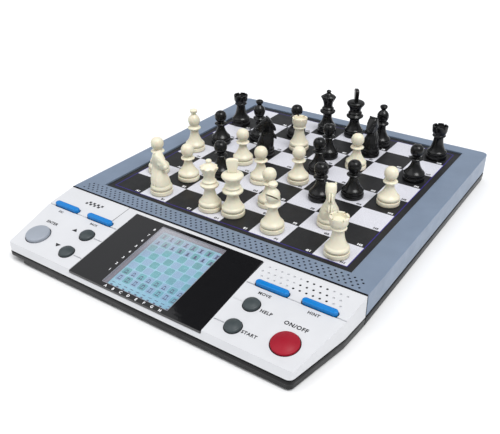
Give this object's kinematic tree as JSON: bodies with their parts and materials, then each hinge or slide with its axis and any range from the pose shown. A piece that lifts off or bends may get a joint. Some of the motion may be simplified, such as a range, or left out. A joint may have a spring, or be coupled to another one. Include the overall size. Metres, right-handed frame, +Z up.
{
  "type": "electronic chess computer",
  "caption": "Low tabletop chess computer with a pressure-sensing board, a sloping control panel with display and keys, a sliding battery cover and a full set of loose pieces.",
  "frame": {"origin": "on the table, under the middle of the body, at the bottom of the rubber feet", "axes": "+X is the player's right, +Y runs from the control panel to the far side of the board, +Z is up"},
  "size_m": [0.2494, 0.3102, 0.0678],
  "materials": {
    "black_plastic": "fine texture",
    "blue_grey_plastic": "satin, slightly metallic",
    "silver_plastic": "satin silver paint",
    "gloss_black": "high gloss, clear over the screen",
    "display_glass": "liquid crystal screen",
    "overlay_sheet": "printed, fine texture",
    "sensor_film": "film",
    "circuit_green": "solder mask",
    "speaker_black": "paper cone in a moulded ring",
    "keypad_rubber": "moulded silicone",
    "foot_rubber": "moulded",
    "battery_jacket": "printed jacket",
    "grey_key": "satin",
    "dark_key": "satin",
    "red_key": "satin",
    "blue_key": "gloss",
    "ivory_piece": "moulded, semi-gloss",
    "black_piece": "moulded, gloss"
  },
  "bodies": {
    "machine": {"base_shell": "black_plastic", "board_frame": "blue_grey_plastic", "control_panel": "silver_plastic", "display_window": "gloss_black", "lcd_module": "display_glass", "board_overlay": "overlay_sheet", "sensor_sheet": "sensor_film", "main_circuit_board": "circuit_green", "keypad_membrane": "keypad_rubber", "speaker": "speaker_black", "battery_1": "battery_jacket", "battery_2": "battery_jacket", "battery_3": "battery_jacket", "rubber_foot_1": "foot_rubber", "rubber_foot_2": "foot_rubber", "rubber_foot_3": "foot_rubber", "rubber_foot_4": "foot_rubber"},
    "battery_cover": {"battery_cover": "black_plastic"},
    "enter_button": {"enter_button": "grey_key"},
    "up_button": {"up_button": "dark_key"},
    "down_button": {"down_button": "dark_key"},
    "help_button": {"help_button": "dark_key"},
    "start_button": {"start_button": "dark_key"},
    "power_button": {"power_button": "red_key"},
    "outer_left_bar": {"outer_left_bar": "blue_key"},
    "inner_left_bar": {"inner_left_bar": "blue_key"},
    "inner_right_bar": {"inner_right_bar": "blue_key"},
    "outer_right_bar": {"outer_right_bar": "blue_key"},
    "white_king": {"white_king": "ivory_piece"},
    "white_queen": {"white_queen": "ivory_piece"},
    "white_rook_1": {"white_rook_1": "ivory_piece"},
    "white_rook_2": {"white_rook_2": "ivory_piece"},
    "white_bishop_1": {"white_bishop_1": "ivory_piece"},
    "white_bishop_2": {"white_bishop_2": "ivory_piece"},
    "white_knight_1": {"white_knight_1": "ivory_piece"},
    "white_knight_2": {"white_knight_2": "ivory_piece"},
    "white_pawn_1": {"white_pawn_1": "ivory_piece"},
    "white_pawn_2": {"white_pawn_2": "ivory_piece"},
    "white_pawn_3": {"white_pawn_3": "ivory_piece"},
    "white_pawn_4": {"white_pawn_4": "ivory_piece"},
    "white_pawn_5": {"white_pawn_5": "ivory_piece"},
    "white_pawn_6": {"white_pawn_6": "ivory_piece"},
    "white_pawn_7": {"white_pawn_7": "ivory_piece"},
    "white_pawn_8": {"white_pawn_8": "ivory_piece"},
    "black_king": {"black_king": "black_piece"},
    "black_queen": {"black_queen": "black_piece"},
    "black_rook_1": {"black_rook_1": "black_piece"},
    "black_rook_2": {"black_rook_2": "black_piece"},
    "black_bishop_1": {"black_bishop_1": "black_piece"},
    "black_bishop_2": {"black_bishop_2": "black_piece"},
    "black_knight_1": {"black_knight_1": "black_piece"},
    "black_knight_2": {"black_knight_2": "black_piece"},
    "black_pawn_1": {"black_pawn_1": "black_piece"},
    "black_pawn_2": {"black_pawn_2": "black_piece"},
    "black_pawn_3": {"black_pawn_3": "black_piece"},
    "black_pawn_4": {"black_pawn_4": "black_piece"},
    "black_pawn_5": {"black_pawn_5": "black_piece"},
    "black_pawn_6": {"black_pawn_6": "black_piece"},
    "black_pawn_7": {"black_pawn_7": "black_piece"},
    "black_pawn_8": {"black_pawn_8": "black_piece"}
  },
  "joints": [
    {"name": "enter_press", "type": "slide", "parent": "machine", "child": "enter_button", "axis": [0, 0.1616, -0.9869], "range_m": [0, 0.0012], "stiffness_N_per_m": 700, "springref_m": -0.0006},
    {"name": "up_press", "type": "slide", "parent": "machine", "child": "up_button", "axis": [0, 0.1616, -0.9869], "range_m": [0, 0.0012], "stiffness_N_per_m": 700, "springref_m": -0.0006},
    {"name": "down_press", "type": "slide", "parent": "machine", "child": "down_button", "axis": [0, 0.1616, -0.9869], "range_m": [0, 0.0012], "stiffness_N_per_m": 700, "springref_m": -0.0006},
    {"name": "help_press", "type": "slide", "parent": "machine", "child": "help_button", "axis": [0, 0.1616, -0.9869], "range_m": [0, 0.0012], "stiffness_N_per_m": 700, "springref_m": -0.0006},
    {"name": "start_press", "type": "slide", "parent": "machine", "child": "start_button", "axis": [0, 0.1616, -0.9869], "range_m": [0, 0.0012], "stiffness_N_per_m": 700, "springref_m": -0.0006},
    {"name": "power_press", "type": "slide", "parent": "machine", "child": "power_button", "axis": [0, 0.1616, -0.9869], "range_m": [0, 0.0012], "stiffness_N_per_m": 700, "springref_m": -0.0006},
    {"name": "outer_left_bar_press", "type": "slide", "parent": "machine", "child": "outer_left_bar", "axis": [0, 0.1122, -0.9937], "range_m": [0, 0.0012], "stiffness_N_per_m": 700, "springref_m": -0.0006},
    {"name": "inner_left_bar_press", "type": "slide", "parent": "machine", "child": "inner_left_bar", "axis": [0, 0.1122, -0.9937], "range_m": [0, 0.0012], "stiffness_N_per_m": 700, "springref_m": -0.0006},
    {"name": "inner_right_bar_press", "type": "slide", "parent": "machine", "child": "inner_right_bar", "axis": [0, 0.1122, -0.9937], "range_m": [0, 0.0012], "stiffness_N_per_m": 700, "springref_m": -0.0006},
    {"name": "outer_right_bar_press", "type": "slide", "parent": "machine", "child": "outer_right_bar", "axis": [0, 0.1122, -0.9937], "range_m": [0, 0.0012], "stiffness_N_per_m": 700, "springref_m": -0.0006},
    {"name": "battery_cover_slide", "type": "slide", "parent": "machine", "child": "battery_cover", "axis": [0, 1, 0], "range_m": [0, 0.06]},
    {"name": "white_king_lift", "type": "slide", "parent": "machine", "child": "white_king", "axis": [0, 0, 1], "range_m": [0, 0.06]},
    {"name": "white_queen_lift", "type": "slide", "parent": "machine", "child": "white_queen", "axis": [0, 0, 1], "range_m": [0, 0.06]},
    {"name": "white_rook_1_lift", "type": "slide", "parent": "machine", "child": "white_rook_1", "axis": [0, 0, 1], "range_m": [0, 0.06]},
    {"name": "white_rook_2_lift", "type": "slide", "parent": "machine", "child": "white_rook_2", "axis": [0, 0, 1], "range_m": [0, 0.06]},
    {"name": "white_bishop_1_lift", "type": "slide", "parent": "machine", "child": "white_bishop_1", "axis": [0, 0, 1], "range_m": [0, 0.06]},
    {"name": "white_bishop_2_lift", "type": "slide", "parent": "machine", "child": "white_bishop_2", "axis": [0, 0, 1], "range_m": [0, 0.06]},
    {"name": "white_knight_1_lift", "type": "slide", "parent": "machine", "child": "white_knight_1", "axis": [0, 0, 1], "range_m": [0, 0.06]},
    {"name": "white_knight_2_lift", "type": "slide", "parent": "machine", "child": "white_knight_2", "axis": [0, 0, 1], "range_m": [0, 0.06]},
    {"name": "white_pawn_1_lift", "type": "slide", "parent": "machine", "child": "white_pawn_1", "axis": [0, 0, 1], "range_m": [0, 0.06]},
    {"name": "white_pawn_2_lift", "type": "slide", "parent": "machine", "child": "white_pawn_2", "axis": [0, 0, 1], "range_m": [0, 0.06]},
    {"name": "white_pawn_3_lift", "type": "slide", "parent": "machine", "child": "white_pawn_3", "axis": [0, 0, 1], "range_m": [0, 0.06]},
    {"name": "white_pawn_4_lift", "type": "slide", "parent": "machine", "child": "white_pawn_4", "axis": [0, 0, 1], "range_m": [0, 0.06]},
    {"name": "white_pawn_5_lift", "type": "slide", "parent": "machine", "child": "white_pawn_5", "axis": [0, 0, 1], "range_m": [0, 0.06]},
    {"name": "white_pawn_6_lift", "type": "slide", "parent": "machine", "child": "white_pawn_6", "axis": [0, 0, 1], "range_m": [0, 0.06]},
    {"name": "white_pawn_7_lift", "type": "slide", "parent": "machine", "child": "white_pawn_7", "axis": [0, 0, 1], "range_m": [0, 0.06]},
    {"name": "white_pawn_8_lift", "type": "slide", "parent": "machine", "child": "white_pawn_8", "axis": [0, 0, 1], "range_m": [0, 0.06]},
    {"name": "black_king_lift", "type": "slide", "parent": "machine", "child": "black_king", "axis": [0, 0, 1], "range_m": [0, 0.06]},
    {"name": "black_queen_lift", "type": "slide", "parent": "machine", "child": "black_queen", "axis": [0, 0, 1], "range_m": [0, 0.06]},
    {"name": "black_rook_1_lift", "type": "slide", "parent": "machine", "child": "black_rook_1", "axis": [0, 0, 1], "range_m": [0, 0.06]},
    {"name": "black_rook_2_lift", "type": "slide", "parent": "machine", "child": "black_rook_2", "axis": [0, 0, 1], "range_m": [0, 0.06]},
    {"name": "black_bishop_1_lift", "type": "slide", "parent": "machine", "child": "black_bishop_1", "axis": [0, 0, 1], "range_m": [0, 0.06]},
    {"name": "black_bishop_2_lift", "type": "slide", "parent": "machine", "child": "black_bishop_2", "axis": [0, 0, 1], "range_m": [0, 0.06]},
    {"name": "black_knight_1_lift", "type": "slide", "parent": "machine", "child": "black_knight_1", "axis": [0, 0, 1], "range_m": [0, 0.06]},
    {"name": "black_knight_2_lift", "type": "slide", "parent": "machine", "child": "black_knight_2", "axis": [0, 0, 1], "range_m": [0, 0.06]},
    {"name": "black_pawn_1_lift", "type": "slide", "parent": "machine", "child": "black_pawn_1", "axis": [0, 0, 1], "range_m": [0, 0.06]},
    {"name": "black_pawn_2_lift", "type": "slide", "parent": "machine", "child": "black_pawn_2", "axis": [0, 0, 1], "range_m": [0, 0.06]},
    {"name": "black_pawn_3_lift", "type": "slide", "parent": "machine", "child": "black_pawn_3", "axis": [0, 0, 1], "range_m": [0, 0.06]},
    {"name": "black_pawn_4_lift", "type": "slide", "parent": "machine", "child": "black_pawn_4", "axis": [0, 0, 1], "range_m": [0, 0.06]},
    {"name": "black_pawn_5_lift", "type": "slide", "parent": "machine", "child": "black_pawn_5", "axis": [0, 0, 1], "range_m": [0, 0.06]},
    {"name": "black_pawn_6_lift", "type": "slide", "parent": "machine", "child": "black_pawn_6", "axis": [0, 0, 1], "range_m": [0, 0.06]},
    {"name": "black_pawn_7_lift", "type": "slide", "parent": "machine", "child": "black_pawn_7", "axis": [0, 0, 1], "range_m": [0, 0.06]},
    {"name": "black_pawn_8_lift", "type": "slide", "parent": "machine", "child": "black_pawn_8", "axis": [0, 0, 1], "range_m": [0, 0.06]}
  ]
}
